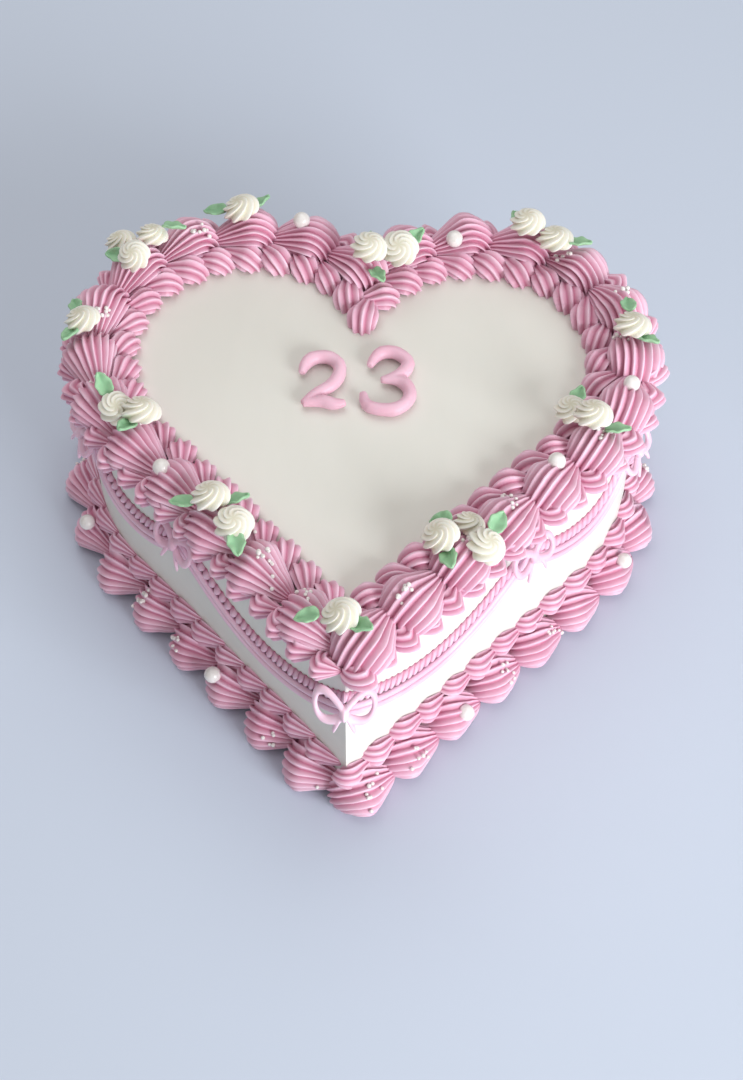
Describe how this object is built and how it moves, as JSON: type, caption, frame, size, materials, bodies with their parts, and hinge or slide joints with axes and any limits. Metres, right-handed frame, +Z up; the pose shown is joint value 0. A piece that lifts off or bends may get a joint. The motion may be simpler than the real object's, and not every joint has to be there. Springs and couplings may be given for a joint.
{
  "type": "heart shaped cake",
  "caption": "Heart-shaped iced cake with piped shell borders at top and base, a draped side garland with bows, rosettes, leaves, pearls and a piped number on top.",
  "frame": {"origin": "middle of the outer box, at the cake's flat underside", "axes": "+Z up, +Y from the heart's front tip to its back cleft, +X to the right seen from the tip"},
  "size_m": [0.2502, 0.2414, 0.1101],
  "materials": {
    "pink_icing": "satin",
    "white_icing": "satin",
    "ivory_icing": "satin",
    "green_icing": "satin"
  },
  "bodies": {
    "root": {"cake_body": "white_icing", "top_border": "pink_icing", "base_border": "pink_icing", "garland": "pink_icing", "digit_two": "pink_icing", "digit_three": "pink_icing", "bow_1": "pink_icing", "bow_2": "pink_icing", "bow_3": "pink_icing", "bow_4": "pink_icing", "bow_5": "pink_icing", "bow_6": "pink_icing", "bow_7": "pink_icing", "bow_8": "pink_icing", "rose_01": "ivory_icing", "rose_02": "ivory_icing", "rose_03": "ivory_icing", "rose_04": "ivory_icing", "rose_05": "ivory_icing", "rose_06": "ivory_icing", "rose_07": "ivory_icing", "rose_08": "ivory_icing", "rose_09": "ivory_icing", "rose_10": "ivory_icing", "rose_11": "ivory_icing", "rose_12": "ivory_icing", "rose_13": "ivory_icing", "rose_14": "ivory_icing", "rose_15": "ivory_icing", "rose_16": "ivory_icing", "rose_17": "ivory_icing", "rose_18": "ivory_icing", "rose_19": "ivory_icing", "rose_20": "ivory_icing", "leaf_01": "green_icing", "leaf_02": "green_icing", "leaf_03": "green_icing", "leaf_04": "green_icing", "leaf_05": "green_icing", "leaf_06": "green_icing", "leaf_07": "green_icing", "leaf_08": "green_icing", "leaf_09": "green_icing", "leaf_10": "green_icing", "leaf_11": "green_icing", "leaf_12": "green_icing", "leaf_13": "green_icing", "leaf_14": "green_icing", "leaf_15": "green_icing", "leaf_16": "green_icing", "leaf_17": "green_icing", "leaf_18": "green_icing", "leaf_19": "green_icing", "leaf_20": "green_icing", "leaf_21": "green_icing", "leaf_22": "green_icing", "leaf_23": "green_icing", "leaf_24": "green_icing", "leaf_25": "green_icing"}
  },
  "joints": []
}
